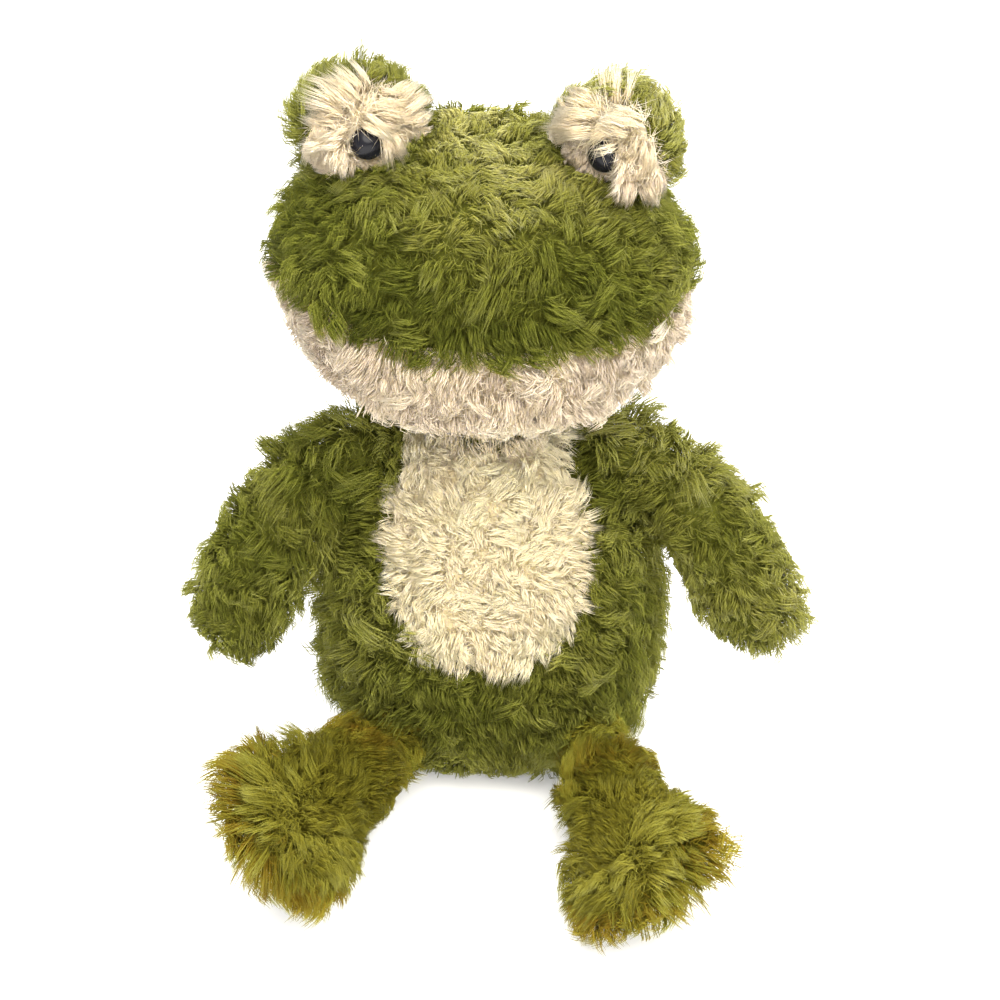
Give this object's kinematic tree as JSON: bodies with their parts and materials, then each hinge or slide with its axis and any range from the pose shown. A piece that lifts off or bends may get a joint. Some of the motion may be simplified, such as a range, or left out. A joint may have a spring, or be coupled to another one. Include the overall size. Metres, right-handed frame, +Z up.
{
  "type": "plush frog",
  "caption": "Seated long-pile plush frog with a wide head, raised eye mounds, a cream tummy and jaw, mitten hands and webbed flippers that flop at their seams.",
  "frame": {"origin": "middle of the flat seat, on the plane that the frog sits on", "axes": "+Z up; -Y is the way the frog faces; +X is the frog's own left"},
  "size_m": [0.2507, 0.2022, 0.3089],
  "materials": {
    "green_pile": "long olive-green pile in clumped locks, matt with a soft sheen",
    "leg_pile": "long olive-green pile, browner at its tips, in clumped locks",
    "cream_pile": "long warm cream pile in clumped locks",
    "stuffing": "white polyester fibre filling",
    "pellet_cloth": "plain woven bag of pellets",
    "eye_plastic": "glossy black moulded plastic",
    "washer_plastic": "clear-white moulded locking washer"
  },
  "bodies": {
    "torso": {"torso_front": "green_pile", "torso_back": "green_pile", "tummy_panel": "cream_pile", "torso_stuffing": "stuffing", "seat_pellet_bag": "pellet_cloth"},
    "head": {"head_crown": "green_pile", "head_back": "green_pile", "jaw_panel": "cream_pile", "head_stuffing": "stuffing", "eye_hood_left": "green_pile", "eye_patch_left": "cream_pile", "eye_stuffing_left": "stuffing", "eye_left": "eye_plastic", "eye_washer_left": "washer_plastic", "eye_hood_right": "green_pile", "eye_patch_right": "cream_pile", "eye_stuffing_right": "stuffing", "eye_right": "eye_plastic", "eye_washer_right": "washer_plastic"},
    "arm_left": {"arm_front_left": "green_pile", "arm_back_left": "green_pile", "arm_stuffing_left": "stuffing"},
    "arm_right": {"arm_front_right": "green_pile", "arm_back_right": "green_pile", "arm_stuffing_right": "stuffing"},
    "leg_left": {"leg_top_left": "leg_pile", "leg_sole_left": "leg_pile", "leg_stuffing_left": "stuffing"},
    "leg_right": {"leg_top_right": "leg_pile", "leg_sole_right": "leg_pile", "leg_stuffing_right": "stuffing"}
  },
  "joints": [
    {"name": "neck_nod", "type": "hinge", "parent": "torso", "child": "head", "pos_m": [0, -0.002, 0.152], "axis": [1, 0, 0], "range_deg": [-20, 15], "stiffness_Nm_per_rad": 1.5},
    {"name": "shoulder_left", "type": "hinge", "parent": "torso", "child": "arm_left", "pos_m": [0.053, -0.006, 0.141], "axis": [0, -1, 0], "range_deg": [0, 60], "stiffness_Nm_per_rad": 0.12},
    {"name": "shoulder_right", "type": "hinge", "parent": "torso", "child": "arm_right", "pos_m": [-0.053, -0.006, 0.141], "axis": [0, 1, 0], "range_deg": [0, 60], "stiffness_Nm_per_rad": 0.12},
    {"name": "hip_left", "type": "hinge", "parent": "torso", "child": "leg_left", "pos_m": [0.042, -0.042, 0.027], "axis": [-1, 0, 0], "range_deg": [-60, 20], "stiffness_Nm_per_rad": 0.15},
    {"name": "hip_right", "type": "hinge", "parent": "torso", "child": "leg_right", "pos_m": [-0.042, -0.042, 0.027], "axis": [-1, 0, 0], "range_deg": [-60, 20], "stiffness_Nm_per_rad": 0.15}
  ]
}
